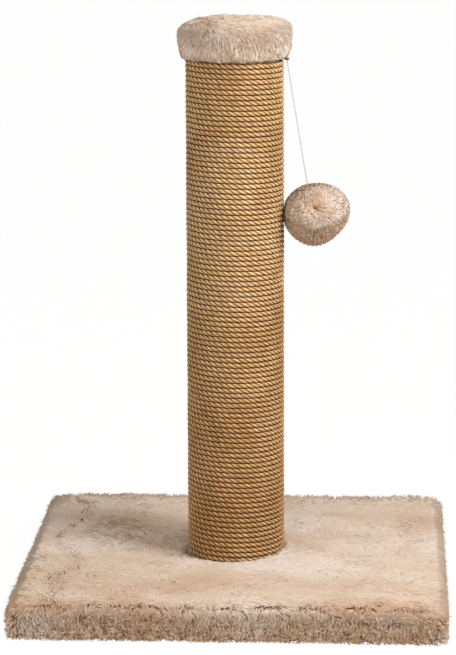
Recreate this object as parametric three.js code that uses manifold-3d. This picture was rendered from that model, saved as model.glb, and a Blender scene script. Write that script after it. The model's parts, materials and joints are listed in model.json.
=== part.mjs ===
// A cat scratching post: a plush-covered square base, a tube wound with jute rope,
// a plush cap, and a plush ball that swings on a string.
// Millimetres, +Z up. The origin is the centre of the base's underside, and the string
// hangs at the +X side.
import * as THREE from "three";
import { mergeVertices } from "three/addons/utils/BufferGeometryUtils.js";
import Module from "manifold-3d";

const wasm = await Module();
wasm.setup();

// ---- Driving dimensions -------------------------------------------------------------

// Gap left between two solids that touch on the real thing
const fit = 0.3;
// Radial clearance of a drilled hole round what passes through it
const drillClearance = 0.35;
// How far a cutter runs on past the surface that it opens
const past = 1;

// Base
const baseSide = 400;
const baseCornerRadius = 16;
const pileLength = 11;
const backingThickness = 1.6;
const boardThickness = 18;
const hemWidth = 32;
const liningThickness = 0.8;
const liningMargin = 12;
const pileEdgeRadius = 9;
const pileFootRadius = 3;

// Post
const tubeLength = 510.2;
const tubeDiameter = 83;
const tubeWall = 4;
const plugThickness = 18;
const plugChamfer = 1.5;
const ropeDiameter = 4.87;
const ropeGap = 0.45;
// Share of a turn that the rope may be squeezed by, to take one more turn
const ropeSlack = 0.1;

// Cap
const capHeight = 35.5;
const capPileReach = 13.2;
const capHemReach = 7.7;
const capHemBite = 2;

// Bolt, washer and tee nut
const boltDiameter = 8;
const boltLength = 36;
const boltHeadAcross = 13;
const boltHeadHeight = 5.3;
const washerDiameter = 24;
const washerThickness = 1.6;
const boltRecessDepth = 8.2;
const teeBarrelDiameter = 10.5;
const teeBarrelLength = 9;
const teeFlangeDiameter = 22;
const teeFlangeThickness = 1.6;

// Staples
const wireWidth = 1.2;
const wireThickness = 0.6;
const stapleCrown = 10;
const baseStapleLeg = 8;
const tubeStapleLeg = 9;
const baseStaplesPerSide = 4;
const plugStaples = 3;
const plugStapleStart = 30;
const capStaples = 6;
// How far the cap's staples lie above the lower face of the top plug
const capStapleRise = 4.5;

// Toy
const stringDiameter = 1.6;
const knotDiameter = 4;
const ballDiameter = 63;
const ballFlatness = 0.93;
const ballDrop = 148.8;
const ballBacking = 1.6;
const ballPile = 11;
const mouthRadius = 3;
const dimpleRadius = 7;
const dimpleDepth = 7;
const dimpleTilt = 6;
const threadThickness = 1;
const stringRootInBall = 8;
// Where the string's line meets the ball's mid-height plane, inward from the ball's centre
const stringLean = 5.2;

// Segments of round shapes
const roundSegments = 48;
const capSegments = 40;
const ropeSteps = 15;
const smallSegments = 16;
const washerSegments = 20;
const ballSegments = 24;
const stringSides = 8;
const stringSteps = 29;

// ---- Heights and radii that follow ----------------------------------------------------

const boardSide = baseSide - 2 * (pileLength + backingThickness);
const hemBottom = liningThickness + fit;
const hemTop = hemBottom + backingThickness;
const boardBottom = hemTop + fit;
const boardTop = boardBottom + boardThickness;
const backingBottom = boardTop + fit;
const backingTop = backingBottom + backingThickness;
const pileTop = backingTop + pileLength;
const tubeBottom = backingTop + fit;

const tubeRadius = tubeDiameter / 2;
const tubeBore = tubeRadius - tubeWall;
const plugRadius = tubeBore - fit;
// The rope's steps are chords, so its inner corners stand off until the chords clear the tube
const ropeChordShare = Math.cos(Math.PI / ropeSteps);
const ropeInnerRadius = (tubeRadius + fit) / ropeChordShare;
const ropeOuterRadius = ((tubeRadius + ropeDiameter) * 2) / (1 + ropeChordShare);
const ropeBottom = tubeBottom + fit;
const tubeTop = tubeBottom + tubeLength;
const capTop = tubeTop + fit + backingThickness + pileLength;
const capHem = capTop - capHeight;
const ropeTop = capHem - fit;
// As many turns as the rope's thickness fills, spread evenly over the height
const ropeTurns = Math.floor((ropeTop - ropeBottom) / ropeDiameter + ropeSlack) - 1;
const ropePitch = (ropeTop - ropeBottom) / (ropeTurns + 1);
// The rope's upper end lies at the back left. From there the last turn's top falls by one
// pitch in a full turn, and the string leaves at +X, on top of it.
const ropeEndDegrees = 170;
const ropeFallAtString = (ropePitch * (360 - ropeEndDegrees)) / 360;

const capBore = tubeRadius + fit;
const capRadius = tubeRadius + capPileReach;
const capHemRadius = tubeRadius + capHemReach;
const bottomPlugTop = tubeBottom + plugThickness;
const topPlugBottom = tubeTop - plugThickness;

const boltHeadBottom = boardBottom + boltRecessDepth - fit - washerThickness - fit - boltHeadHeight;
const boltShankBottom = boltHeadBottom + boltHeadHeight;
const boltHoleRadius = boltDiameter / 2 + drillClearance;

const stringRadius = stringDiameter / 2;
const stringHeight = ropeTop - ropeFallAtString + 2 * fit + stringRadius;
const stringExit = new THREE.Vector3(ropeOuterRadius + fit + knotDiameter / 2, 0, stringHeight);
const ballRadius = ballDiameter / 2;
const ballHollow = ballRadius - ballPile - ballBacking;
const ballCentre = new THREE.Vector3(ropeOuterRadius + fit + ballRadius, 0, stringHeight - ballDrop);

// ---- Solids ---------------------------------------------------------------------------

// A geometry with its shared vertices merged, as a solid for cutting
function solid(geometry) {
  const bare = geometry.clone();
  bare.deleteAttribute("normal");
  bare.deleteAttribute("uv");
  const merged = mergeVertices(bare, 1e-4);
  return new wasm.Manifold(
    new wasm.Mesh({
      numProp: 3,
      vertProperties: new Float32Array(merged.attributes.position.array),
      triVerts: new Uint32Array(merged.index.array),
    }),
  );
}

// A solid back as a geometry
function geometryOf(manifold) {
  const mesh = manifold.getMesh();
  const geometry = new THREE.BufferGeometry();
  geometry.setAttribute("position", new THREE.BufferAttribute(new Float32Array(mesh.vertProperties), 3));
  geometry.setIndex(new THREE.BufferAttribute(new Uint32Array(mesh.triVerts), 1));
  geometry.computeVertexNormals();
  return geometry;
}

// The geometry less all the cutters
function cut(geometry, cutters) {
  return geometryOf(cutters.reduce((body, cutter) => body.subtract(solid(cutter)), solid(geometry)));
}

// A square with rounded corners, centred on the origin
function roundedSquare(side, radius) {
  const half = side / 2;
  const inner = half - radius;
  const shape = new THREE.Shape();
  shape.moveTo(-inner, -half);
  shape.lineTo(inner, -half);
  shape.absarc(inner, -inner, radius, -Math.PI / 2, 0);
  shape.lineTo(half, inner);
  shape.absarc(inner, inner, radius, 0, Math.PI / 2);
  shape.lineTo(-inner, half);
  shape.absarc(-inner, inner, radius, Math.PI / 2, Math.PI);
  shape.lineTo(-half, -inner);
  shape.absarc(-inner, -inner, radius, Math.PI, 1.5 * Math.PI);
  return shape;
}

// A flat plate of the shape, from one height to another
function plate(shape, from, to) {
  const geometry = new THREE.ExtrudeGeometry(shape, { depth: to - from, bevelEnabled: false, curveSegments: 3 });
  return geometry.translate(0, 0, from);
}

// A shape turned round the Z axis from [radius, height] points that start and end on the axis
// or close on themselves
function turned(points, segments = roundSegments) {
  const profile = points.map(([radius, height]) => new THREE.Vector2(radius, height));
  return new THREE.LatheGeometry(profile, segments).rotateX(Math.PI / 2);
}

// An upright cylinder, from one height to another
function disc(radius, from, to, segments = roundSegments) {
  return turned([[0, from], [radius, from], [radius, to], [0, to]], segments);
}

// An upright pipe: the outline closes on itself
function pipe(inner, outer, from, to, segments = roundSegments) {
  return turned([[inner, from], [outer, from], [outer, to], [inner, to], [inner, from]], segments);
}

// Points of an arc in a profile, as [radius, height]
function arc(centreRadius, centreHeight, reach, fromDegrees, toDegrees, steps) {
  return Array.from({ length: steps + 1 }, (_, i) => {
    const angle = THREE.MathUtils.degToRad(fromDegrees + ((toDegrees - fromDegrees) * i) / steps);
    return [centreRadius + reach * Math.cos(angle), centreHeight + reach * Math.sin(angle)];
  });
}

// A bent wire staple with its crown's back at the origin, crown along X and legs along +Z
function stapleGeometry(leg) {
  const half = stapleCrown / 2;
  const shape = new THREE.Shape();
  shape.moveTo(-half, 0);
  shape.lineTo(half, 0);
  shape.lineTo(half, leg);
  shape.lineTo(half - wireThickness, leg - wireThickness);
  shape.lineTo(half - wireThickness, wireThickness);
  shape.lineTo(-half + wireThickness, wireThickness);
  shape.lineTo(-half + wireThickness, leg - wireThickness);
  shape.lineTo(-half, leg);
  const geometry = new THREE.ExtrudeGeometry(shape, { depth: wireWidth, bevelEnabled: false });
  return geometry.translate(0, 0, -wireWidth / 2).rotateX(Math.PI / 2);
}

// What a staple needs free: a slot for its crown, open at the back, and one hole for each leg
function stapleCutters(leg, openBack) {
  const reach = stapleCrown / 2;
  const slotTop = wireThickness + fit;
  const slot = new THREE.BoxGeometry(stapleCrown + 2 * fit, wireWidth + 2 * fit, slotTop + openBack);
  const holes = [-1, 1].map((side) => {
    const hole = new THREE.BoxGeometry(wireThickness + 2 * fit, wireWidth + 2 * fit, leg + fit);
    return hole.translate(side * (reach - wireThickness / 2), 0, (leg + fit) / 2);
  });
  return [slot.translate(0, 0, (slotTop - openBack) / 2), ...holes];
}

// ---- Materials --------------------------------------------------------------------------

const finish = (color, roughness, metalness = 0) =>
  new THREE.MeshStandardMaterial({ color, roughness, metalness });
const plush = finish("#cbb6a1", 0.95);
const lining = finish("#4a4541", 0.95);
const chipboard = finish("#b99a6c", 0.85);
const cardboard = finish("#a58460", 0.9);
const wood = finish("#cda877", 0.75);
const jute = finish("#b8905a", 0.9);
const zincSteel = finish("#b9bcc0", 0.4, 1);
const cotton = finish("#efece6", 0.8);
const knotThread = finish("#6b4a3c", 0.85);
const stuffing = finish("#f2f0ea", 0.95);

const model = new THREE.Group();

// Adds a named mesh to the model
function add(name, geometry, material) {
  const mesh = new THREE.Mesh(geometry, material);
  mesh.name = name;
  model.add(mesh);
}

// ---- Base ---------------------------------------------------------------------------------

// One place for each staple under the hem: along each side, turned with its side
function baseStaplePlaces() {
  const spacing = boardSide / baseStaplesPerSide;
  const inset = boardSide / 2 - hemWidth / 2;
  const places = [];
  for (let side = 0; side < 4; side += 1) {
    for (let i = 0; i < baseStaplesPerSide; i += 1) {
      const along = (i - (baseStaplesPerSide - 1) / 2) * spacing;
      const matrix = new THREE.Matrix4()
        .makeRotationZ((side * Math.PI) / 2)
        .multiply(new THREE.Matrix4().makeTranslation(along, -inset, hemBottom));
      places.push(matrix);
    }
  }
  return places;
}

// The plush as one skin round the board: pile and backing on top and sides, a hem below.
// Its edge is rounded above and below by stacked outlines, each a little further in.
function plushSlab() {
  const layers = [
    ...arc(-pileFootRadius, hemBottom + pileFootRadius, pileFootRadius, -90, 0, 2),
    ...arc(-pileEdgeRadius, pileTop - pileEdgeRadius, pileEdgeRadius, 0, 90, 5),
  ];
  const cornerSteps = 6;
  const positions = [];
  const ring = 4 * (cornerSteps + 1);
  for (const [inward, height] of layers) {
    for (let corner = 0; corner < 4; corner += 1) {
      for (let i = 0; i <= cornerSteps; i += 1) {
        const angle = (corner + i / cornerSteps) * (Math.PI / 2);
        const middle = baseSide / 2 - baseCornerRadius;
        const cornerX = corner === 0 || corner === 3 ? middle : -middle;
        const cornerY = corner < 2 ? middle : -middle;
        const reach = baseCornerRadius + inward;
        positions.push(cornerX + reach * Math.cos(angle), cornerY + reach * Math.sin(angle), height);
      }
    }
  }
  const triangles = [];
  for (let layer = 0; layer + 1 < layers.length; layer += 1) {
    for (let i = 0; i < ring; i += 1) {
      const a = layer * ring + i;
      const b = layer * ring + ((i + 1) % ring);
      triangles.push(a, b, b + ring, a, b + ring, a + ring);
    }
  }
  const top = (layers.length - 1) * ring;
  for (let i = 1; i + 1 < ring; i += 1) {
    triangles.push(0, i + 1, i);
    triangles.push(top, top + i, top + i + 1);
  }
  const geometry = new THREE.BufferGeometry();
  geometry.setAttribute("position", new THREE.Float32BufferAttribute(positions, 3));
  geometry.setIndex(triangles);
  return geometry;
}

function basePlush(staplePlaces) {
  const boardSpace = boardSide + 2 * fit;
  const cavity = new THREE.BoxGeometry(boardSpace, boardSpace, backingBottom - hemTop);
  cavity.translate(0, 0, (backingBottom + hemTop) / 2);
  const hemSide = boardSide - 2 * hemWidth;
  const mouth = new THREE.BoxGeometry(hemSide, hemSide, boardBottom);
  mouth.translate(0, 0, boardBottom / 2);
  const foot = disc(ropeOuterRadius + fit, backingTop, pileTop + past);
  const boltHole = disc(boltHoleRadius, boardTop, backingTop + past, smallSegments);
  const slots = staplePlaces.flatMap((place) =>
    stapleCutters(baseStapleLeg, fit).map((cutter) => cutter.applyMatrix4(place)),
  );
  return cut(plushSlab(), [cavity, mouth, foot, boltHole, ...slots]);
}

function baseBoard(staplePlaces) {
  const board = new THREE.BoxGeometry(boardSide, boardSide, boardThickness);
  board.translate(0, 0, (boardBottom + boardTop) / 2);
  const recess = disc(
    washerDiameter / 2 + drillClearance,
    boardBottom - past,
    boardBottom + boltRecessDepth,
    washerSegments,
  );
  const boltHole = disc(boltHoleRadius, boardBottom, boardTop + past, smallSegments);
  const holes = staplePlaces.flatMap((place) =>
    stapleCutters(baseStapleLeg, fit)
      .slice(1)
      .map((cutter) => cutter.applyMatrix4(place)),
  );
  return cut(board, [recess, boltHole, ...holes]);
}

function undersideLining() {
  const side = baseSide - 2 * liningMargin;
  const sheet = plate(roundedSquare(side, baseCornerRadius / 2), 0, liningThickness);
  const access = disc(washerDiameter / 2 + drillClearance, -past, liningThickness + past, washerSegments);
  return cut(sheet, [access]);
}

const hemStaplePlaces = baseStaplePlaces();
add("underside_lining", undersideLining(), lining);
add("base_board", baseBoard(hemStaplePlaces), chipboard);
add("base_plush", basePlush(hemStaplePlaces), plush);
hemStaplePlaces.forEach((place, i) => {
  add(`base_staple_${i + 1}`, stapleGeometry(baseStapleLeg).applyMatrix4(place), zincSteel);
});

// ---- Bolt, washer and tee nut ---------------------------------------------------------------

const washerBottom = boltShankBottom + fit;
add(
  "bolt_washer",
  pipe(boltHoleRadius, washerDiameter / 2, washerBottom, washerBottom + washerThickness, washerSegments),
  zincSteel,
);

function bolt() {
  const headRadius = boltHeadAcross / Math.sqrt(3);
  const head = new THREE.CylinderGeometry(headRadius, headRadius, boltHeadHeight, 6);
  head.rotateX(Math.PI / 2).translate(0, 0, boltHeadBottom + boltHeadHeight / 2);
  const shank = disc(boltDiameter / 2, boltShankBottom - past, boltShankBottom + boltLength, smallSegments);
  return geometryOf(solid(head).add(solid(shank)));
}

add("base_bolt", bolt(), zincSteel);

function teeNut() {
  const bore = boltHoleRadius;
  const barrel = teeBarrelDiameter / 2;
  const flangeBottom = bottomPlugTop + fit;
  const flangeTop = flangeBottom + teeFlangeThickness;
  const barrelBottom = flangeBottom - teeBarrelLength;
  return turned(
    [
      [bore, barrelBottom],
      [barrel, barrelBottom],
      [barrel, flangeBottom],
      [teeFlangeDiameter / 2, flangeBottom],
      [teeFlangeDiameter / 2, flangeTop],
      [bore, flangeTop],
      [bore, barrelBottom],
    ],
    smallSegments,
  );
}

add("tee_nut", teeNut(), zincSteel);

// ---- Post -------------------------------------------------------------------------------------

// Places of staples driven square into the tube, at one height and evenly round it from a start
// angle. The crown lies level, with its back at the given radius.
function roundStaplePlaces(count, radius, height, startDegrees) {
  const square = new THREE.Matrix4().makeBasis(
    new THREE.Vector3(0, 1, 0),
    new THREE.Vector3(0, 0, -1),
    new THREE.Vector3(-1, 0, 0),
  );
  return Array.from({ length: count }, (_, i) => {
    const angle = THREE.MathUtils.degToRad(startDegrees + (i * 360) / count);
    return new THREE.Matrix4()
      .makeRotationZ(angle)
      .multiply(new THREE.Matrix4().makeTranslation(radius, 0, height))
      .multiply(square);
  });
}

// The crown is straight, so it sits below the round tube's surface by the crown's own bow
const crownBow = tubeRadius - Math.sqrt(tubeRadius ** 2 - (stapleCrown / 2) ** 2);
const plugStapleRadius = tubeRadius - crownBow - fit;
const bottomStapleHeight = tubeBottom + plugThickness / 2;
const topStapleHeight = tubeTop - plugThickness / 2;
const bottomPlugPlaces = roundStaplePlaces(plugStaples, plugStapleRadius, bottomStapleHeight, plugStapleStart);
const topPlugPlaces = roundStaplePlaces(plugStaples, plugStapleRadius, topStapleHeight, plugStapleStart);
const capBackingRadius = capBore + backingThickness;
const capStapleHeight = topPlugBottom + capStapleRise;
const capPlaces = roundStaplePlaces(capStaples, capBackingRadius + wireThickness, capStapleHeight, 0);

// Cutters for staples driven square into the tube
function roundCutters(places, leg, openBack) {
  return places.flatMap((place) =>
    stapleCutters(leg, openBack).map((cutter) => cutter.applyMatrix4(place)),
  );
}

const capLeg = tubeStapleLeg + backingThickness;
const bottomCutters = () => roundCutters(bottomPlugPlaces, tubeStapleLeg, past);
const topCutters = () => roundCutters(topPlugPlaces, tubeStapleLeg, past);
const capCutters = () => roundCutters(capPlaces, capLeg, fit);

// Room for the string through the tube's wall and under the cap's hem
function stringHole() {
  const hole = disc(stringRadius + drillClearance, 0, stringExit.x, stringSides);
  return hole.rotateY(Math.PI / 2).translate(0, 0, stringHeight);
}

function postTube() {
  const tube = pipe(tubeBore, tubeRadius, tubeBottom, tubeTop);
  return cut(tube, [stringHole(), ...bottomCutters(), ...topCutters(), ...capCutters()]);
}

// A wooden plug with a small chamfer on both edges
function plug(from, to) {
  const edge = plugRadius - plugChamfer;
  return turned([
    [0, from],
    [edge, from],
    [plugRadius, from + plugChamfer],
    [plugRadius, to - plugChamfer],
    [edge, to],
    [0, to],
  ]);
}

function bottomPlug() {
  const barrelHole = disc(
    teeBarrelDiameter / 2 + drillClearance,
    bottomPlugTop - teeBarrelLength,
    bottomPlugTop + past,
    smallSegments,
  );
  const boltHole = disc(boltHoleRadius, tubeBottom - past, bottomPlugTop, smallSegments);
  return cut(plug(tubeBottom, bottomPlugTop), [barrelHole, boltHole, ...bottomCutters()]);
}

add("post_tube", postTube(), cardboard);
add("bottom_plug", bottomPlug(), wood);
add("top_plug", cut(plug(topPlugBottom, tubeTop), [...topCutters(), ...capCutters()]), wood);
[
  ["plug_staple_bottom", bottomPlugPlaces],
  ["plug_staple_top", topPlugPlaces],
].forEach(([name, places]) => {
  places.forEach((place, i) => {
    add(`${name}_${i + 1}`, stapleGeometry(tubeStapleLeg).applyMatrix4(place), zincSteel);
  });
});

// The rope is one unbroken tube wound up the post as a left-handed helix, a pitch to each turn.
// Its section is a ridge: two corners against the tube and one that points out.
const ropeSectionCorners = [
  [ropeInnerRadius, -(ropePitch - ropeGap) / 2],
  [ropeOuterRadius, 0],
  [ropeInnerRadius, (ropePitch - ropeGap) / 2],
];

// One corner of the rope's section at a step along the helix
function ropePoint(step, [radius, rise]) {
  const turns = step / ropeSteps;
  const angle = THREE.MathUtils.degToRad(ropeEndDegrees - 360) + (ropeTurns - turns) * 2 * Math.PI;
  const height = ropeBottom + ropePitch / 2 + turns * ropePitch + rise;
  return new THREE.Vector3(radius * Math.cos(angle), radius * Math.sin(angle), height);
}

function ropeWinding() {
  const steps = ropeTurns * ropeSteps;
  const sides = ropeSectionCorners.length;
  const positions = [];
  for (let step = 0; step <= steps; step += 1) {
    for (const corner of ropeSectionCorners) {
      positions.push(...ropePoint(step, corner).toArray());
    }
  }
  const triangles = [];
  for (let step = 0; step < steps; step += 1) {
    for (let side = 0; side < sides; side += 1) {
      const a = step * sides + side;
      const b = step * sides + ((side + 1) % sides);
      triangles.push(a, b + sides, a + sides, a, b, b + sides);
    }
  }
  const last = steps * sides;
  triangles.push(0, 2, 1, last, last + 1, last + 2);
  const geometry = new THREE.BufferGeometry();
  geometry.setAttribute("position", new THREE.Float32BufferAttribute(positions, 3));
  geometry.setIndex(triangles);
  return geometry;
}

// The least gap between one turn's top corner and the next turn's bottom corner, on points
function ropeLeastGap() {
  const lower = ropeSectionCorners[2];
  const upper = ropeSectionCorners[0];
  let least = Infinity;
  for (let step = 0; step + ropeSteps <= ropeTurns * ropeSteps; step += 1) {
    least = Math.min(least, ropePoint(step, lower).distanceTo(ropePoint(step + ropeSteps, upper)));
  }
  return least;
}

add("rope_winding", ropeWinding(), jute);
console.log(`rope: ${ropeTurns} turns, least gap to itself ${ropeLeastGap().toFixed(2)} mm`);

// ---- Cap ------------------------------------------------------------------------------------------

// The cap's pile bulges out above its hem and rounds over to the flat top
function capPlush() {
  const bulge = capRadius - capHemRadius;
  const outline = [
    [0, tubeTop + fit],
    [capBore, tubeTop + fit],
    [capBore, capHem],
    [capHemRadius - capHemBite, capHem],
    ...arc(capHemRadius, capHem + bulge + capHemBite, bulge, -60, 0, 3),
    ...arc(capRadius - pileLength, capTop - pileLength, pileLength, 0, 90, 6),
    [0, capTop],
  ];
  const knotRoom = new THREE.SphereGeometry(knotDiameter / 2 + fit, 12, 8);
  knotRoom.translate(stringExit.x, stringExit.y, stringExit.z);
  return cut(turned(outline, capSegments), [stringHole(), knotRoom, ...capCutters()]);
}

add("cap_plush", capPlush(), plush);
capPlaces.forEach((place, i) => {
  add(`cap_staple_${i + 1}`, stapleGeometry(capLeg).applyMatrix4(place), zincSteel);
});

// ---- Toy ------------------------------------------------------------------------------------------

// The knotted end of the string, turned about its own line: a stopper inside the tube,
// the string through the tube's wall, and the knot that shows at the seam
function stringKnot() {
  const stopper = knotDiameter / 2;
  const inside = tubeBore - fit - stopper;
  const outside = stringExit.x;
  return turned(
    [
      [0, inside - stopper],
      ...arc(0, inside, stopper, -60, 66, 5),
      [stringRadius, inside + stopper],
      [stringRadius, outside - stopper],
      ...arc(0, outside, stopper, -66, 60, 5),
      [0, outside + stopper],
    ],
    stringSides,
  )
    .rotateY(Math.PI / 2)
    .translate(0, 0, stringHeight);
}

// A line from the knot through the ball's mid-height plane
const stringAim = new THREE.Vector3(ballCentre.x - stringLean, 0, ballCentre.z);
const stringWay = stringAim.clone().sub(stringExit).normalize();
const stringStart = stringExit.clone().addScaledVector(stringWay, knotDiameter / 2 + fit);
const stuffingRadius = ballHollow - fit;
const stringEnd = stringAim.clone().addScaledVector(stringWay, stringRootInBall - stuffingRadius);

// A straight round bar between two points
function bar(from, to, radius, steps = 1) {
  const section = new THREE.Shape();
  section.absarc(0, 0, radius, 0, 2 * Math.PI);
  return new THREE.ExtrudeGeometry(section, {
    extrudePath: new THREE.LineCurve3(from, to),
    steps,
    curveSegments: stringSides / 2,
    bevelEnabled: false,
  });
}

// The channel for the string through the ball, which ends a little past the string
const stringChannel = () =>
  bar(stringStart, stringEnd.clone().addScaledVector(stringWay, fit), stringRadius + drillClearance);

// A shape turned about the ball's gathered side: its axis points to the front and a little up
function onBall(geometry) {
  return geometry
    .rotateX(Math.PI / 2 - THREE.MathUtils.degToRad(dimpleTilt))
    .scale(1, 1, ballFlatness)
    .translate(ballCentre.x, ballCentre.y, ballCentre.z);
}

// The ball's skin of pile and backing, from the back of its hollow round to the gathered mouth
// and round outside to the back
function ballPlush() {
  const mouthAngle = THREE.MathUtils.radToDeg(Math.acos(mouthRadius / ballHollow));
  const rimAngle = THREE.MathUtils.radToDeg(Math.acos(dimpleRadius / ballRadius));
  const outline = [
    [0, -ballRadius],
    ...arc(0, 0, ballRadius, -80, rimAngle, 11),
    [(dimpleRadius + mouthRadius) / 2, ballRadius - dimpleDepth / 2],
    [mouthRadius, ballRadius - dimpleDepth],
    ...arc(0, 0, ballHollow, mouthAngle, -80, 8),
    [0, -ballHollow],
  ];
  return cut(onBall(turned(outline, ballSegments)), [stringChannel()]);
}

function ballStuffing() {
  const outline = [[0, -stuffingRadius], ...arc(0, 0, stuffingRadius, -80, 80, 8), [0, stuffingRadius]];
  return cut(onBall(turned(outline, smallSegments)), [stringChannel()]);
}

function gatherThread() {
  const reach = mouthRadius - fit - threadThickness / 2;
  const height = ballRadius - dimpleDepth - threadThickness;
  return onBall(turned(arc(reach, height, threadThickness / 2, -180, 180, 6), 12));
}

add("string_knot", stringKnot(), knotThread);
add("toy_string", bar(stringStart, stringEnd, stringRadius, stringSteps), cotton);
add("ball_plush", ballPlush(), plush);
add("ball_stuffing", ballStuffing(), stuffing);
add("gather_thread", gatherThread(), cotton);

console.log(
  `heights: pile ${pileTop.toFixed(2)}, rope ${ropeBottom.toFixed(2)} to ${ropeTop.toFixed(2)},` +
    ` tube top ${tubeTop.toFixed(2)}, cap top ${capTop.toFixed(2)}`,
);
console.log(
  `string: from ${stringStart.toArray().map((v) => v.toFixed(2))} to ${stringEnd.toArray().map((v) => v.toFixed(2))},` +
    ` ${stringStart.distanceTo(stringEnd).toFixed(1)} mm`,
);

export default model;
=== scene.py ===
"""A cat scratching post: plush base and cap, a post wound with jute rope, and a plush ball on a string.

Metres, +Z up, in the frame of the CAD model. Lengths written in millimetres are times MM. All
random fields and draws have fixed seeds.
"""
import json
import math

import bmesh
import bpy
import numpy as np
from mathutils import Matrix, Vector


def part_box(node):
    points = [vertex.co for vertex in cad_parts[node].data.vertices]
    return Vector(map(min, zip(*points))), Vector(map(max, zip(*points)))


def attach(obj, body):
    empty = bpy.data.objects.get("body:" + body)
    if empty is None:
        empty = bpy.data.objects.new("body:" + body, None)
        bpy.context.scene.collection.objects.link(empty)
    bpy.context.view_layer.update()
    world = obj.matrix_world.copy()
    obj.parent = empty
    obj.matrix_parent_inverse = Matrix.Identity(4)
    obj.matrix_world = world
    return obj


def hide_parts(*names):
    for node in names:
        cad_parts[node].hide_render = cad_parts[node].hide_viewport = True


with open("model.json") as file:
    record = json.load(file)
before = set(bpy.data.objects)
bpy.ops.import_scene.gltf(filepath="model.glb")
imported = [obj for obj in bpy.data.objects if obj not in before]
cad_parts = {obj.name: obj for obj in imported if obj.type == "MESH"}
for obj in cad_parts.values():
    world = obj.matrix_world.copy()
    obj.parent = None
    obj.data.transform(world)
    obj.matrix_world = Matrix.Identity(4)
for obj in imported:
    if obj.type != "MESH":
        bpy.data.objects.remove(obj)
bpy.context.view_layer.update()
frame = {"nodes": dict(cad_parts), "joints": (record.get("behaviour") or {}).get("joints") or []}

MM = 0.001

# ---- Sizes, from the frame where it has them

BASE_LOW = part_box("base_plush")[0]
BOARD_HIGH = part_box("base_board")[1]
ROPE_LOW, ROPE_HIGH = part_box("rope_winding")
TUBE_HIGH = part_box("post_tube")[1]
CAP_LOW, CAP_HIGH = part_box("cap_plush")
BALL_LOW, BALL_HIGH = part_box("ball_plush")
KNOT_AT = Vector(frame["joints"][0]["pos_m"])

FIT = 0.3 * MM
BACKING = 1.6 * MM
PILE = 11 * MM
# The undercoat is the dense lower part of the pile, which is modelled as the cover's surface.
# On the base's top the pile lies flat and close, so less of it stands free.
CAP_UNDERCOAT = 5 * MM
LAID_UNDERCOAT = 7.5 * MM
EDGE_UNDERCOAT = 5.8 * MM
# How deep a tuft is rooted in the undercoat
ROOT_DEPTH = 0.8 * MM

BOARD_HALF = BOARD_HIGH.x
BOARD_TOP = BOARD_HIGH.z
BACKING_TOP = BOARD_TOP + FIT + BACKING
HEM_WIDTH = 32 * MM
HEM_BOTTOM = BASE_LOW.z
# Bolt hole through the cover, under the post
BOLT_HOLE = 4.6 * MM

POST_REACH = ROPE_HIGH.x
ROPE_THICKNESS = 4.87 * MM
ROPE_TURNS = 99
# Half of the rope's width: the turns all but touch
ROPE_REACH = 2.42 * MM
# The length of rope in which a strand goes once round it
ROPE_LAY = 17.1 * MM
ROPE_CENTRE = TUBE_HIGH.x + FIT + ROPE_THICKNESS / 2
# The CAD model's rope leaves this much free above and below each turn
ROPE_FREE = 0.22 * MM
ROPE_START = ROPE_LOW.z - ROPE_FREE + ROPE_THICKNESS / 2
# The rope's upper end lies at the back left, as in the CAD model
ROPE_END_ANGLE = math.radians(170)

CAP_HEM = CAP_LOW.z
CAP_SKIN_TOP = CAP_HIGH.z - PILE + CAP_UNDERCOAT
CAP_BORE = TUBE_HIGH.x + FIT
CAP_SKIN_REACH = CAP_BORE + BACKING + EDGE_UNDERCOAT

BALL_CENTRE = np.array((BALL_LOW + BALL_HIGH) / 2)
BALL_CENTRE[1] = 0
# The ball's weight presses its pile against the rope
BALL_CENTRE += np.array([-2.2, 0, 0.7]) * MM
BALL_FLATNESS = 0.93
BALL_SKIN = 26.9 * MM
# The gathered mouth faces the front and a little up
MOUTH_TILT = math.radians(23)
MOUTH_AXIS = np.array([0.0, -math.cos(MOUTH_TILT), math.sin(MOUTH_TILT)])

# The string's free length, with the CAD model's points
STRING_FROM = Vector((49.55, 0.0, 507.06)) * MM
STRING_TO = Vector((71.77, 0.0, 370.99)) * MM
STRING_THICKNESS = 1.6 * MM
STRING_LAY = 5 * MM


# ---- Camera, lights and floor

# The photograph's view: far away, a little to the right and from slightly above
CAMERA_AZIMUTH = math.radians(3.05)
CAMERA_ELEVATION = math.radians(11.6)
CAMERA_ROLL = math.radians(-0.225)
CAMERA_DISTANCE = 2.8284
CAMERA_LENS_MM = 162.7
CAMERA_SEES_TO = 20
CAMERA_AIM_HEIGHT = 0.25178
CAMERA_AIM_SIDE = -0.00729

# A soft key light from the right, and weaker light from above and in front, as
# (name, place, size, power, colour). All are aimed at the middle of the post.
LAMPS = (
    ("key_light", (0.8, -0.5, 0.95), 0.56, 11, "#fffdfb"),
    ("top_light", (0, 0.2, 4), 3, 2, "#ffffff"),
    ("fill_light", (-0.25, -1.75, 0.65), 1.2, 15.5, "#fffdfa"),
)
LAMP_AIM = Vector((0, 0, 0.25))
WORLD_STRENGTH = 0.43
FLOOR_HALF = 6
FLOOR_DROP = 0.1 * MM
# How much of the floor that the camera sees is plain white; the rest takes the shadow
FLOOR_GLOW = 0.95
FLOOR_GLOW_STRENGTH = 1.03


def add_object(name, data):
    made = bpy.data.objects.new(name, data)
    bpy.context.scene.collection.objects.link(made)
    return made


def make_mesh(name, operator, **settings):
    """A new mesh, made by one bmesh operator."""
    mesh = bpy.data.meshes.new(name)
    bm = bmesh.new()
    operator(bm, **settings)
    bm.to_mesh(mesh)
    bm.free()
    return mesh


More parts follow.
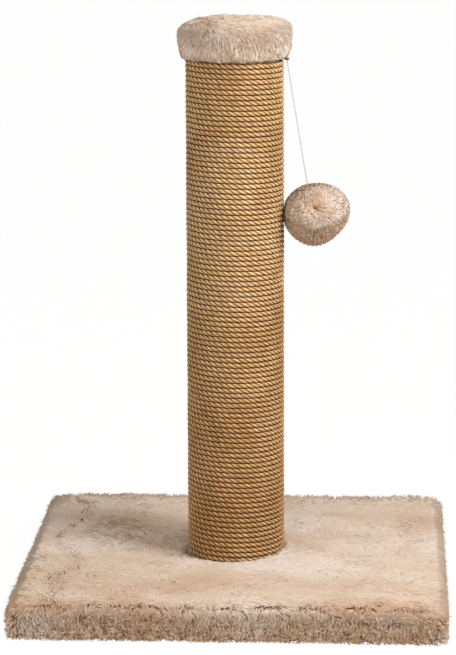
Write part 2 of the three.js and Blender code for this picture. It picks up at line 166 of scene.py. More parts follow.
def make_camera():
    right = Vector((math.cos(CAMERA_AZIMUTH), math.sin(CAMERA_AZIMUTH), 0))
    back = Vector((
        math.sin(CAMERA_AZIMUTH) * math.cos(CAMERA_ELEVATION),
        -math.cos(CAMERA_AZIMUTH) * math.cos(CAMERA_ELEVATION),
        math.sin(CAMERA_ELEVATION),
    ))
    up = back.cross(right)
    aim = Vector((0, 0, CAMERA_AIM_HEIGHT)) + right * CAMERA_AIM_SIDE
    rolled_right = right * math.cos(CAMERA_ROLL) + up * math.sin(CAMERA_ROLL)
    rolled_up = back.cross(rolled_right)
    data = bpy.data.cameras.new("photo_camera")
    data.lens = CAMERA_LENS_MM
    data.clip_end = CAMERA_SEES_TO
    camera = add_object("photo_camera", data)
    turn = Matrix((rolled_right, rolled_up, back)).transposed()
    camera.matrix_world = Matrix.Translation(aim + back * CAMERA_DISTANCE) @ turn.to_4x4()
    bpy.context.scene.camera = camera


def add_lamp(name, place, size, power, colour):
    data = bpy.data.lights.new(name, "AREA")
    data.size = size
    data.energy = power
    data.color = srgb(colour)[:3]
    lamp = add_object(name, data)
    lamp.location = place
    lamp.rotation_euler = (LAMP_AIM - Vector(place)).to_track_quat("-Z", "Y").to_euler()


def seen_directly(owner):
    """1 for what the camera sees, by itself or in a reflection or glass, and 0 for light alone."""
    path = add_node(owner, "ShaderNodeLightPath").outputs
    seen = path["Is Camera Ray"]
    for other in ("Is Glossy Ray", "Is Transmission Ray"):
        seen = add_node(owner, "ShaderNodeMath", {"operation": "MAXIMUM"},
                        {0: seen, 1: path[other]}).outputs[0]
    return seen


def floor_material():
    """A pale studio floor: white to the camera and in reflections, with the object's shadow."""
    material, output = new_material("studio_floor")
    diffuse = add_node(material, "ShaderNodeBsdfDiffuse", links={"Color": srgb("#d5d1cb")})
    glow = add_node(material, "ShaderNodeEmission",
                    links={"Color": srgb("#ffffff"), "Strength": FLOOR_GLOW_STRENGTH})
    share = add_node(material, "ShaderNodeMath", {"operation": "MULTIPLY"},
                     {0: seen_directly(material), 1: FLOOR_GLOW}).outputs[0]
    both = add_node(material, "ShaderNodeMixShader",
                    links={0: share, 1: diffuse.outputs["BSDF"], 2: glow.outputs["Emission"]})
    material.node_tree.links.new(both.outputs["Shader"], output.inputs["Surface"])
    return material


def make_studio():
    """A white world with soft, slightly warm light, a large pale floor, and the lamps."""
    world = bpy.data.worlds.new("studio")
    bpy.context.scene.world = world
    world.use_nodes = True
    world.node_tree.nodes.clear()
    ambient = add_node(world, "ShaderNodeBackground",
                       links={"Color": srgb("#fff4ea"), "Strength": WORLD_STRENGTH})
    backdrop = add_node(world, "ShaderNodeBackground", links={"Color": srgb("#ffffff")})
    choose = add_node(world, "ShaderNodeMixShader", links={
        0: seen_directly(world), 1: ambient.outputs["Background"], 2: backdrop.outputs["Background"]})
    add_node(world, "ShaderNodeOutputWorld", links={"Surface": choose.outputs["Shader"]})
    bpy.context.scene.view_settings.view_transform = "Standard"

    mesh = make_mesh("studio_floor", bmesh.ops.create_grid, x_segments=1, y_segments=1, size=FLOOR_HALF)
    floor = add_object("studio_floor", mesh)
    floor.location.z = -FLOOR_DROP
    mesh.materials.append(floor_material())
    for lamp in LAMPS:
        add_lamp(*lamp)


# ---- Materials

# Broad lighter and darker patches on plush and rope
PATCH_SIZE = 60 * MM
# Jute's fibres are drawn this wide, coarser than they are, so that they show
FIBRE_WIDTH = 0.7 * MM
# Dark brown at the roots of the plush's tufts: painted shade deep in the pile
PLUSH_PAINTED_ROOT_SHADE = "#865525"

# Plain finishes, as (darker tone, lighter tone, size of the grain, roughness, other settings)
PLAIN_FINISHES = {
    # Off-white cotton plies, matt, greyer than thread because they hang in front of white
    "twisted_cotton_string": ("#c2c4c8", "#dadce0", 0.8 * MM, 0.8, {"relief": 0.5}),
    # Reddish-brown waxed strands, a little smoother than cotton
    "waxed_knot_thread": ("#6b4a3c", "#8c6857", 0.8 * MM, 0.7, {"relief": 0.5}),
    # Dark matted felt, quite dull
    "needle_felt_lining": ("#3d3936", "#56504b", 3 * MM, 0.95, {"relief": 0.6}),
    # Pressed wood chips: dry, mottled tan
    "chipboard": ("#a98857", "#cbab7a", 2.5 * MM, 0.85, {"relief": 0.4}),
    # Brown paper board with faint level bands
    "wound_cardboard": ("#9a7a57", "#b39169", 4 * MM, 0.9, {"stretch": (1, 1, 6)}),
    # Raw pale wood with its grain in narrow lines
    "poplar_plywood": ("#c09a66", "#d8b689", 3 * MM, 0.75, {"stretch": (1, 8, 1)}),
    # Grey plated steel with soft reflections
    "zinc_plated_steel": ("#aeb2b6", "#c9ccd0", 6 * MM, 0.38, {"metallic": 1.0, "relief": 0.05}),
    # Fluffy white fibre fill
    "polyester_fill": ("#e4e1da", "#f6f4ee", 2 * MM, 0.95, {"relief": 0.8}),
    # Off-white sewing cotton, matt
    "cotton_thread": ("#d9d5cc", "#f2efe8", 0.6 * MM, 0.85, {"relief": 0.5}),
}


def srgb(hex_colour):
    """A colour written as #rrggbb, as the linear values that Blender takes."""
    parts = [int(hex_colour[i:i + 2], 16) / 255 for i in (1, 3, 5)]
    linear = [p / 12.92 if p <= 0.04045 else ((p + 0.055) / 1.055) ** 2.4 for p in parts]
    return (*linear, 1.0)


def add_node(owner, kind, settings=None, links=None):
    """A node in a material or world, with its settings and inputs: a value, a colour, or another
    node's output."""
    tree = owner.node_tree
    made = tree.nodes.new(kind)
    for key, value in (settings or {}).items():
        setattr(made, key, value)
    for key, value in (links or {}).items():
        if isinstance(value, bpy.types.NodeSocket):
            tree.links.new(value, made.inputs[key])
        else:
            made.inputs[key].default_value = value
    return made


def add_ramp(material, factor, stops):
    """A colour ramp with stops of (position, #rrggbb)."""
    ramp = add_node(material, "ShaderNodeValToRGB", links={"Fac": factor})
    elements = ramp.color_ramp.elements
    while len(elements) < len(stops):
        elements.new(0.5)
    for element, (position, colour) in zip(elements, stops):
        element.position = position
        element.color = srgb(colour)
    return ramp.outputs["Color"]


def new_material(name):
    """An empty node material: (material, its output node)."""
    material = bpy.data.materials.new(name)
    material.use_nodes = True
    material.node_tree.nodes.clear()
    return material, add_node(material, "ShaderNodeOutputMaterial")


def finish_material(material, output, links):
    """The surface's own shader, joined to the output."""
    shader = add_node(material, "ShaderNodeBsdfPrincipled", links=links)
    material.node_tree.links.new(shader.outputs["BSDF"], output.inputs["Surface"])
    return material


def object_place(material):
    return add_node(material, "ShaderNodeTexCoord").outputs["Object"]


def noise(material, place, wavelength, detail, roughness=0.55):
    """Noise whose largest features are as long as the wavelength, in metres."""
    return add_node(material, "ShaderNodeTexNoise", links={
        "Vector": place, "Scale": 1 / wavelength, "Detail": detail, "Roughness": roughness,
    }).outputs["Fac"]


def stretched(material, place, scale):
    """Coordinates stretched along an axis, so that a pattern on them runs in streaks."""
    return add_node(material, "ShaderNodeMapping", {"vector_type": "POINT"},
                    {"Vector": place, "Scale": scale}).outputs["Vector"]


def attribute(material, name, output="Fac"):
    """A value kept on the points of the mesh."""
    return add_node(material, "ShaderNodeAttribute", {"attribute_name": name}).outputs[output]


def multiplied(material, first, second, factor=1.0):
    """The first colour darkened by the second."""
    return add_node(material, "ShaderNodeMix", {"data_type": "RGBA", "blend_type": "MULTIPLY"},
                    {0: factor, 6: first, 7: second}).outputs[2]


def bump(material, height, strength, distance):
    return add_node(material, "ShaderNodeBump", links={
        "Height": height, "Strength": strength, "Distance": distance}).outputs["Normal"]


def plush_material(name, body_colour, tip_colour):
    """Polyester plush: soft tufts, matt, with a faint sheen. Each tuft runs from dark brown roots,
    painted as the shade deep in the pile, to pale tips. Each tuft also has its own shade value,
    random tone together with painted light and shade, and broad lighter and darker patches are
    painted as the sheen of pile brushed different ways. Real fibres are too fine to show, so a
    tuft stands for a lock of them, 1 to 2 mm thick."""
    material, output = new_material(name)
    place = object_place(material)
    # Painted shade: each tuft runs from the dark root colour, as shade deep in the pile, to a pale tip
    along = add_ramp(material, attribute(material, "tip"),
                     [(0.0, PLUSH_PAINTED_ROOT_SHADE), (0.42, body_colour), (0.92, tip_colour)])
    # Broad patches, painted lighter and darker as the sheen of pile brushed different ways
    patches = add_ramp(material, noise(material, place, PATCH_SIZE, 2.0),
                       [(0.36, "#f3ebe2"), (0.6, "#ffffff")])
    brushed = multiplied(material, along, patches)
    # The shade value darkens a tuft towards tan: random tone together with painted light and painted shade
    tufts = add_ramp(material, attribute(material, "shade"), [(0.0, "#d7b086"), (1.0, "#ffffff")])
    return finish_material(material, output, {
        "Base Color": multiplied(material, brushed, tufts), "Roughness": 0.8, "Sheen Weight": 0.4,
        "Sheen Roughness": 0.5, "Sheen Tint": srgb("#ffe2c4"), "Specular IOR Level": 0.25,
    })


def jute_material():
    """Jute rope: dry golden-brown bast fibre laid in three strands, dull, with fine fibre streaks.
    The strands' crests are painted light and their grooves painted as shade, the sides of the
    turns that face each other are painted darker as shade between the turns, and the lower turns
    are painted a little darker as well."""
    material, output = new_material("jute_rope")
    lay = attribute(material, "lay", "Vector")
    streaks = noise(material, stretched(material, lay, (0.12, 1.0, 1.0)), FIBRE_WIDTH, 4.0, 0.7)
    # Painted light and shade: the strands' crests are painted light, their grooves painted as shade
    depth = add_ramp(material, attribute(material, "crest"),
                     [(0.0, "#5a3408"), (0.4, "#b1803e"), (1.0, "#ffe6bb")])
    fibres = add_ramp(material, streaks, [(0.34, "#ad8a5c"), (0.6, "#ffffff")])
    colour = multiplied(material, depth, fibres, 0.9)
    # Painted shade: the sides of the turns that face each other are painted darker, as shade between the
    # turns
    painted_turn_shade = add_ramp(material, attribute(material, "outward"), [(0.08, "#7a4e1c"), (0.62, "#ffffff")])
    colour = multiplied(material, colour, painted_turn_shade)
    broad = add_ramp(material, noise(material, object_place(material), PATCH_SIZE, 2.0),
                     [(0.35, "#e9dfd0"), (0.6, "#ffffff")])
    return finish_material(material, output, {
        "Base Color": multiplied(material, colour, broad), "Roughness": 0.8, "Specular IOR Level": 0.2,
        "Normal": bump(material, streaks, 0.5, 0.3 * MM),
    })


def plain_material(name):
    """A dull or metal surface whose colour wanders between two tones, with a fine grain."""
    darker, lighter, grain, roughness, others = PLAIN_FINISHES[name]
    material, output = new_material(name)
    place = stretched(material, object_place(material), others.get("stretch", (1, 1, 1)))
    pattern = noise(material, place, grain, 5.0, 0.6)
    colour = add_ramp(material, pattern, [(0.3, darker), (0.7, lighter)])
    return finish_material(material, output, {
        "Base Color": colour, "Roughness": roughness, "Metallic": others.get("metallic", 0.0),
        "Normal": bump(material, pattern, others.get("relief", 0.2), grain / 8),
    })


# ---- Meshes and pieces

def add_piece(name, mesh, material, body, node_names):
    """A finished mesh as a piece: it rides on its body and stands for its CAD nodes."""
    mesh.materials.clear()
    mesh.materials.append(material)
    piece = add_object(name, mesh)
    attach(piece, body)
    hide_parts(*node_names)
    return piece


def read_points(mesh, what="co"):
    """The mesh's points, or their normals, one to a row."""
    flat = np.zeros(len(mesh.vertices) * 3)
    mesh.vertices.foreach_get(what, flat)
    return flat.reshape(-1, 3)


def write_points(mesh, points):
    mesh.vertices.foreach_set("co", points.astype(np.float32).ravel())


def keep_values(mesh, values):
    """Named numbers or vectors on the mesh's points, for its material to read."""
    for key, rows in values.items():
        kind, field = ("FLOAT", "value") if rows.ndim == 1 else ("FLOAT_VECTOR", "vector")
        mesh.attributes.new(key, kind, "POINT").data.foreach_set(field, rows.astype(np.float32).ravel())


def shade_smooth(mesh):
    mesh.polygons.foreach_set("use_smooth", np.ones(len(mesh.polygons), bool))


def unit(vectors):
    return vectors / np.maximum(np.linalg.norm(vectors, axis=-1, keepdims=True), 1e-12)


def smooth(value, low, high):
    """0 below low, 1 above high, and a smooth step between them."""
    t = np.clip((value - low) / (high - low), 0, 1)
    return t * t * (3 - 2 * t)


def mixed(first, second, share):
    """The first where share is 0, and the second where it is 1."""
    return first * (1 - share) + second * share


def waves(places, wavelength, seed):
    """A smooth random field from about -1 to 1: a few plane waves of about one wavelength."""
    count = 7
    rng = np.random.default_rng(seed)
    ways = rng.normal(size=(count, 3))
    ways /= np.linalg.norm(ways, axis=1)[:, None]
    rates = 2 * np.pi / (wavelength * rng.uniform(0.7, 1.5, count))
    phases = rng.uniform(0, 2 * np.pi, count)
    return np.sin(places @ (ways * rates[:, None]).T + phases).sum(-1) / math.sqrt(count) / 1.2


# ---- Pile: many copies of one tapered tuft

def tuft_template(cuts):
    """One tuft of three sides, cut across at some heights: its corners as (across, up along it),
    and its faces."""
    bm = bmesh.new()
    bmesh.ops.create_cone(bm, cap_ends=True, segments=3, radius1=1, radius2=0, depth=1)
    bmesh.ops.translate(bm, verts=bm.verts, vec=(0, 0, 0.5))
    for height in cuts:
        geom = bm.verts[:] + bm.edges[:] + bm.faces[:]
        bmesh.ops.bisect_plane(bm, geom=geom, plane_co=(0, 0, height), plane_no=(0, 0, 1))
    bm.verts.index_update()
    corners = np.array([v.co for v in bm.verts])
    quads = np.array([[v.index for v in f.verts] for f in bm.faces if len(f.verts) == 4])
    triangles = np.array([[v.index for v in f.verts] for f in bm.faces if len(f.verts) == 3])
    bm.free()
    along = corners[:, 2]
    point = along > 0.999
    # Full for most of its length, then drawn to a point
    spread = np.where(point, 0, 1 - 0.6 * along ** 3)
    ring = unit(corners[:, :2])
    ring[point] = 0
    return ring * spread[:, None], along, quads, triangles


def add_pile(name, material, body, node_names, cuts, tufts, chosen=slice(None)):
    """The chosen tufts as one piece. Each grows from its root along its normal, and bends over to
    its end. tufts are arrays of roots, normals, ends, widths, shades, rise and dense: rise is the
    share of its length that a tuft goes up before it bends, and dense is how much of the dark
    root colour, painted as shade deep in the pile, gives way to the tip's pale colour where the
    pile round it is closed."""
    roots, normals, ends, widths, shades, rise, dense = (rows[chosen] for rows in tufts)
    roots = roots - normals * ROOT_DEPTH
    ring, along, quads, triangles = tuft_template(cuts)
    count, corners = len(roots), len(along)
    reach = ends - roots
    bends = roots + normals * (np.linalg.norm(reach, axis=1) * rise)[:, None]
    side = unit(np.cross(normals, reach) + 1e-9)
    over = unit(np.cross(reach, side))
    t = along[None, :, None]
    line = (1 - t) ** 2 * roots[:, None] + 2 * t * (1 - t) * bends[:, None] + t ** 2 * ends[:, None]
    points = line + widths[:, None, None] / 2 * (
        ring[None, :, :1] * side[:, None] + ring[None, :, 1:] * over[:, None])
    shift = (np.arange(count) * corners)[:, None, None]
    faces = [(quads + shift).reshape(-1, 4), (triangles + shift).reshape(-1, 3)]

    mesh = bpy.data.meshes.new(name)
    face_corners = np.concatenate([rows.ravel() for rows in faces]).astype(np.int32)
    sizes = np.concatenate([np.full(len(rows), rows.shape[1]) for rows in faces]).astype(np.int32)
    starts = np.concatenate([[0], np.cumsum(sizes)[:-1]]).astype(np.int32)
    mesh.vertices.add(count * corners)
    write_points(mesh, points)
    mesh.loops.add(len(face_corners))
    mesh.loops.foreach_set("vertex_index", face_corners)
    mesh.polygons.add(len(sizes))
    mesh.polygons.foreach_set("loop_start", starts)
    tips = mixed(along, 1, dense[:, None])
    keep_values(mesh, {"tip": tips.ravel(), "shade": np.repeat(shades, corners)})
    mesh.update(calc_edges=True)
    shade_smooth(mesh)
    add_piece(name, mesh, material, body, node_names)


def roots_on(mesh, density, seed, keep=None):
    """Random points on a mesh's faces, so many to the square millimetre, with their normals."""
    mesh.calc_loop_triangles()
    corners, normals = read_points(mesh), read_points(mesh, "normal")
    triangles = np.zeros(len(mesh.loop_triangles) * 3, np.int32)
    mesh.loop_triangles.foreach_get("vertices", triangles)
    triangles = triangles.reshape(-1, 3)
    if keep is not None:
        triangles = triangles[keep(corners[triangles].mean(1), unit(normals[triangles].mean(1)))]
    a, b, c = (corners[triangles[:, i]] for i in range(3))
    areas = np.linalg.norm(np.cross(b - a, c - a), axis=1) / 2
    rng = np.random.default_rng(seed)
    count = int(areas.sum() * density / MM ** 2)
    chosen = rng.choice(len(triangles), count, p=areas / areas.sum())
    u, v = np.sqrt(rng.uniform(size=count)), rng.uniform(size=count)
    shares = np.stack([1 - u, u * (1 - v), u * v], 1)[:, :, None]
    places = (corners[triangles[chosen]] * shares).sum(1)
    return places, unit((normals[triangles[chosen]] * shares).sum(1))


def lean(normals, ways, angle):
    """Directions leant over from the normals towards the ways, by an angle in radians."""
    flat = unit(ways - (ways * normals).sum(1)[:, None] * normals)
    angle = angle[:, None]
    return unit(normals * np.cos(angle) + flat * np.sin(angle))


def gather(ends, spacing, pull, seed):
    """Draws tuft ends together in clumps about one spacing apart: the moved ends."""
    table = 100003
    jitter = np.random.default_rng(seed).uniform(-0.5, 0.5, 3) * spacing
    cell = np.floor((ends + jitter) / spacing).astype(int)
    centre = (cell + 0.5) * spacing - jitter
    row = (cell * np.array([73856093, 19349663, 83492791])).sum(1) % table
    offset = np.random.default_rng(seed + 1).uniform(-0.4, 0.4, (table, 3))[row] * spacing
    return ends + (centre + offset - ends) * pull


def rope_surface(places):
    """How far the winding reaches from the post's axis, level with each place."""
    turn = (ROPE_END_ANGLE - np.arctan2(places[:, 1], places[:, 0])) / (2 * np.pi)
    level = (places[:, 2] - ROPE_START) / ROPE_THICKNESS - turn
    off = (level - np.round(level)) * ROPE_THICKNESS
    return ROPE_CENTRE + np.sqrt(np.maximum(ROPE_REACH ** 2 - off ** 2, 0))


def keep_off_rope(ends, gap):
    """Moves the ends that reach into the winding out to its surface, in place."""
    reach = np.hypot(ends[:, 0], ends[:, 1])
    clear = rope_surface(ends) + gap
    inside = reach < clear
    ends[inside, :2] *= (clear / reach)[inside, None]


# ---- Covers: the backing and the dense lower pile, as one closed skin

# How far to each side of a square's corner its extra points lie, in radians
CORNER_SPREAD = 0.09


def ring_angles(count, corners=0):
    """Angles round a ring, closer together at four corners where asked."""
    angles = list(np.linspace(0, 2 * np.pi, count, endpoint=False))
    for quarter in range(4 if corners else 0):
        middle = (quarter + 0.5) * np.pi / 2
        angles += list(middle + np.linspace(-CORNER_SPREAD, CORNER_SPREAD, corners))
    return np.unique(np.round(angles, 6))


def round_ring(angles, radius, height):
    return np.stack([radius * np.cos(angles), radius * np.sin(angles), np.full(len(angles), height)], 1)


def square_reach(angles, half, corner):
    """How far a rounded square reaches from its centre, at each angle."""
    a = np.abs((angles + np.pi / 4) % (np.pi / 2) - np.pi / 4)
    straight = half / np.cos(a)
    middle = half - corner
    along = middle * (np.cos(a) + np.sin(a))
    arc = along + np.sqrt(np.maximum(along ** 2 - 2 * middle ** 2 + corner ** 2, 0))
    return np.where(half * np.tan(a) <= middle, straight, arc)


def bend(centre, radius, start, end, steps):
    """Points of a profile along an arc, in degrees, as (reach, height)."""
    turn = np.radians(np.linspace(start, end, steps + 1))
    return [(centre[0] + radius * math.cos(a), centre[1] + radius * math.sin(a)) for a in turn]


def skin(name, rings, values):
    """A closed skin over rings of points. A grid's rows are moved to the rings, and it is welded
    where it meets itself and filled where it ends open. values are kept on its points."""
    steps, around = rings.shape[0] - 1, rings.shape[1]
    mesh = make_mesh(name, bmesh.ops.create_grid, x_segments=steps, y_segments=around, size=0.5)
    flat = read_points(mesh)
    row = np.rint((flat[:, 0] + 0.5) * steps).astype(int)
    turn = np.rint((flat[:, 1] + 0.5) * around).astype(int) % around
    write_points(mesh, rings[row, turn])
    keep_values(mesh, {key: rows[row, turn] for key, rows in values.items()})
    bm = bmesh.new()
    bm.from_mesh(mesh)
    bmesh.ops.remove_doubles(bm, verts=bm.verts, dist=0.002 * MM)
    bmesh.ops.holes_fill(bm, edges=[edge for edge in bm.edges if edge.is_boundary])
    bmesh.ops.recalc_face_normals(bm, faces=bm.faces)
    bm.to_mesh(mesh)
    bm.free()
    shade_smooth(mesh)
    return mesh


# ---- Base: a plush cover pulled over the board, and its pile

# The cover's rounded upper edge and foot, and its corners seen from above
COVER_EDGE = 8.5 * MM
COVER_FOOT = 3 * MM
COVER_CORNER = 4.5 * MM
HEM_CORNER = 4 * MM

# Tufts to the square millimetre of cover, and the share of them kept where the pile lies flat
BASE_TUFTS = 0.95
FLAT_SHARE = 0.44
# Small whorls in the flat pile: their number, how far out they lie, and how far from the post
WHORL_COUNT = 22
WHORL_AREA_MM = 185
WHORL_FROM_POST = 70 * MM
# Lengths of tufts in millimetres, and how far they lean over from the skin: laid flat on top,
# standing at the side, and what the side's upper part adds
LAID_MM, SIDE_MM, SHOULDER_MM = 12.5, 7, 2.4
LAID_LEAN, SIDE_LEAN, SHOULDER_LEAN = np.radians((80, 40, 20))
BASE_CLUMP = 3.9 * MM
# Where the pile near an outer edge starts to differ, and where it differs most
NEAR_EDGE, AT_EDGE = 150 * MM, 185 * MM


def make_base_cover(material):
    """The cover, from the bolt hole out over the board, down its sides and under as a hem."""
    angles = ring_angles(144, corners=9)
    skin_half = BOARD_HALF + FIT + BACKING + EDGE_UNDERCOAT
    skin_top = BACKING_TOP + LAID_UNDERCOAT
    inner = BOARD_HALF + FIT
    hem = inner - HEM_WIDTH
    # Near the post: round rings, as (radius, height)
    near = [(BOLT_HOLE, BACKING_TOP), (0.6 * POST_REACH, BACKING_TOP), (POST_REACH + 0.3 * MM, BACKING_TOP),
            (POST_REACH + 0.5 * MM, BACKING_TOP + 0.72 * LAID_UNDERCOAT),
            (POST_REACH + 1.6 * MM, BACKING_TOP + 0.95 * LAID_UNDERCOAT), (POST_REACH + 6 * MM, skin_top)]
    rings = [round_ring(angles, *place) for place in near]
    # Out to the edge: rings that turn from round to square
    start = near[-1][0]
    for share in np.linspace(0.06, 1, 18):
        reach = start * (1 - share) + square_reach(angles, skin_half - COVER_EDGE, 3 * MM) * share
        rings.append(round_ring(angles, reach, skin_top))
    # Round the edge and down the side, then under and back inside the hem, as (half, height)
    outside = bend((skin_half - COVER_EDGE, skin_top - COVER_EDGE), COVER_EDGE, 75, 0, 5)
    outside += [(skin_half, 0.5 * skin_top)]
    outside += bend((skin_half - COVER_FOOT, HEM_BOTTOM + COVER_FOOT), COVER_FOOT, 0, -90, 4)
    under = [(0.5 * (hem + inner), HEM_BOTTOM), (hem, HEM_BOTTOM), (hem, HEM_BOTTOM + BACKING),
             (inner, HEM_BOTTOM + BACKING), (inner, BOARD_TOP + FIT), (hem, BOARD_TOP + FIT)]
    for profile, corner in ((outside, COVER_CORNER), (under, HEM_CORNER)):
        rings += [round_ring(angles, square_reach(angles, half, corner), height) for half, height in profile]
    rings += [round_ring(angles, BOLT_HOLE, BOARD_TOP + FIT), rings[0]]
    rings = np.asarray(rings)
    # The filled cover isn't dead flat: it swells and dips by a millimetre
    outer = rings[:, :, 2] > BACKING_TOP + 1 * MM
    rings[:, :, 2] += outer * waves(rings, 110 * MM, 3) * 0.8 * MM
    # Painted shade: pale on top, where flat pile hides the cover; lower down it takes the dark root colour,
    # as painted shade between the standing tufts
    tip = 0.15 + 0.8 * smooth(rings[:, :, 2], skin_top - 8 * MM, skin_top - 2.5 * MM)
    mesh = skin("base_cover", rings, {"tip": tip, "shade": nap_shade(rings)})
    piece = add_piece("base_cover", mesh, material, "root", ["base_plush"])
    return mesh


def brushed_way(places):
    """The way the base's pile is brushed: along X, swinging slowly, with a wandering parting
    near the left edge."""
    parting = -160 * MM + 12 * MM * waves(places * [0, 1, 0], 130 * MM, 13)
    turn = np.pi / 2 * np.clip((places[:, 0] - parting) / (20 * MM), -1, 1) * 0.87
    turn += 0.5 * waves(places * [0.6, 1.3, 1], 110 * MM, 11) + 0.25 * waves(places, 45 * MM, 12)
    return np.stack([np.sin(turn), -np.cos(turn), np.zeros(len(places))], 1)


def nap_shade(places):
    """Painted light and shade on the brushed pile: lighter and darker streaks, painted as pile that
    leans to and from the light, and painted shade towards the front and where it rolls over the
    edge. Streaks run mostly along X."""
    broad = waves(places * [0.5, 1.3, 1], 110 * MM, 21)
    fine = waves(places * [0.5, 1.4, 1], 28 * MM, 22)
    front = -places[..., 1]
    darker = 0.2 * smooth(front, 60 * MM, 150 * MM) + 0.14 * smooth(front, 160 * MM, 186 * MM)
    return np.clip(0.84 - darker + 0.17 * broad + 0.06 * fine, 0, 1)


def base_roots(cover, rng):
    """Where the base's tufts grow: roots, normals, and how far a whorl turns each one aside."""
    def wanted(centres, normals):
        top = (normals[:, 2] > 0.3) & (centres[:, 2] > BACKING_TOP + 1 * MM)
        side = (np.abs(centres[:, :2]).max(1) > BOARD_HALF + BACKING + 2 * FIT) & (centres[:, 2] > 2 * MM)
        return top | side

    roots, normals = roots_on(cover, BASE_TUFTS, 31, wanted)
    # The flat pile on top needs fewer, longer tufts than the edge
    kept = rng.uniform(size=len(roots)) < np.where(normals[:, 2] < 0.9, 1, FLAT_SHARE)
    roots, normals = roots[kept], normals[kept]
    whorls = rng.uniform(-WHORL_AREA_MM, WHORL_AREA_MM, (WHORL_COUNT, 2)) * MM
    whorls = whorls[np.hypot(whorls[:, 0], whorls[:, 1]) > WHORL_FROM_POST]
    way_out = roots[:, None, :2] - whorls[None]
    distance = np.linalg.norm(way_out, axis=2)
    nearest = np.arange(len(roots)), distance.argmin(1)
    way_out, distance = way_out[nearest], distance[nearest]
    flat = normals[:, 2] > 0.8
    kept = ~(flat & (distance < 1 * MM))
    aside = unit(way_out) * (1.5 * (1 - smooth(distance, 2 * MM, 6 * MM)) * flat)[:, None]
    return roots[kept], normals[kept], aside[kept]


def make_base_pile(cover, material):
    """The pile on the base: brushed flat on top, curling over the edge, end-on at the sides."""
    rng = np.random.default_rng(32)
    roots, normals, aside = base_roots(cover, rng)
    count = len(roots)
    upright = 1 - smooth(normals[:, 2], 0.2, 0.95)
    left = smooth(-roots[:, 0], NEAR_EDGE, AT_EDGE)
    ways = brushed_way(roots)
    ways[:, :2] += aside
    # Along each edge it spills outwards, in locks that cross a little
    edge = smooth(np.abs(roots[:, :2]), BOARD_HALF - 18 * MM, BOARD_HALF + 4 * MM)
    ways[:, :2] = ways[:, :2] * (1 - 0.6 * edge.max(1))[:, None] + np.sign(roots[:, :2]) * edge * 1.4
    ways[:, 0] += edge[:, 1] * 0.9 * waves(roots, 20 * MM, 37)
    # Sideways, the standing pile swings in broad and in small curls
    swing = 0.8 * waves(roots, 55 * MM, 33) + 0.9 * waves(roots, 13 * MM, 34)
    height = roots[:, 2] / BACKING_TOP
    against = np.maximum(-(normals * brushed_way(roots)).sum(1), 0)
    shoulder = smooth(height + 0.16 * waves(roots, 26 * MM, 27), 0.42, 1)
    rises = -0.3 - 0.7 * shoulder + 0.8 * waves(roots, 13 * MM, 38) + 1.8 * against * smooth(height, 0.6, 1)
    ways = mixed(ways, np.stack([swing, swing, rises], 1), upright[:, None])
    # Where brushed ways part, the pile between them stands up
    decided = smooth(np.linalg.norm(ways, axis=1), 0.05, 0.5)
    ways += rng.normal(0, 0.1, ways.shape) * (1 + 3 * upright[:, None])
    angle = mixed(LAID_LEAN * decided, SIDE_LEAN + SHOULDER_LEAN * shoulder, upright)
    angle += np.radians(3) * waves(roots, 30 * MM, 35) + rng.normal(0, 0.03 + 0.2 * upright, count)
    # The back edge's pile stands a little higher
    at_back = smooth(roots[:, 1], 165 * MM, AT_EDGE)
    angle -= (np.radians(12) * at_back + np.radians(9) * edge[:, 1]) * (1 - upright)
    corner = smooth(np.abs(roots[:, :2]).min(1), 182 * MM, 192 * MM)
    angle *= 1 - 0.6 * corner * upright
    lengths = mixed(LAID_MM, SIDE_MM + SHOULDER_MM * shoulder, upright) * MM * rng.uniform(0.85, 1.1, count)
    lengths *= 0.7 + 0.3 * np.maximum(decided, upright)
    # On the left it stands out further, and corners are filled out by longer pile
    lengths += 2.6 * MM * upright * left * smooth(roots[:, 1], -AT_EDGE, -NEAR_EDGE)
    lengths *= 1 + (0.2 - 0.35 * shoulder) * upright * corner
    ends = roots + lean(normals, ways, angle) * lengths[:, None]
    ends = gather(ends, BASE_CLUMP, 0.12 + 0.42 * upright[:, None], 36)
    # The pile stops above the floor, along an uneven line, and leans back from the rope
    foot = (0.9 - roots[:, 0] / (300 * MM) + 0.8 * waves(roots * [1, 1, 0], 70 * MM, 40)) * MM
    ends[:, 2] = np.maximum(ends[:, 2], np.maximum(foot, 0.3 * MM))
    keep_off_rope(ends, 0.5 * MM)
    widths = mixed(rng.uniform(1.5, 2.3, count), rng.uniform(1.0, 1.6, count), upright) * MM
    # Painted light and shade on the standing pile: darker than the laid pile, as shade among its end-on
    # tufts, and lighter on the left, where the key light doesn't reach; clumps vary at random
    standing = (0.46 + 0.25 * left + 0.08 * shoulder + 0.15 * waves(roots, 40 * MM, 39)
                + 0.2 * waves(ends, 7 * MM, 26))
    shade = mixed(nap_shade(roots), standing, upright)
    shade = np.clip(shade + rng.normal(0, 0.05 + 0.22 * upright, count), 0, 1)

    # Less of the painted root shade on the laid top than among the standing tufts
    tufts = roots, normals, ends, widths, shade, 0.32 + 0.13 * upright, 0.46 - 0.26 * upright
    x, y = roots[:, 0], roots[:, 1]
    side = np.where(np.abs(x) > np.abs(y), np.where(x > 0, 0, 1), np.where(y > 0, 2, 3))
    quarter = (x > 0) * 1 + (y > 0) * 2
    on_side = upright > 0.5
    parts = [(f"base_pile_side_{name}", 0.75, on_side & (side == i))
             for i, name in enumerate(("right", "left", "back", "front"))]
    parts += [(f"base_pile_top_{name}", 0.55, ~on_side & (quarter == i))
              for i, name in enumerate(("front_left", "front_right", "back_left", "back_right"))]
    for name, cut, chosen in parts:
        add_pile(name, material, "root", ["base_plush"], (cut,), tufts, chosen)


# ---- Post: rope wound round the tube

ROPE_SIDES = 12
ROPE_STEP = 1.9 * MM
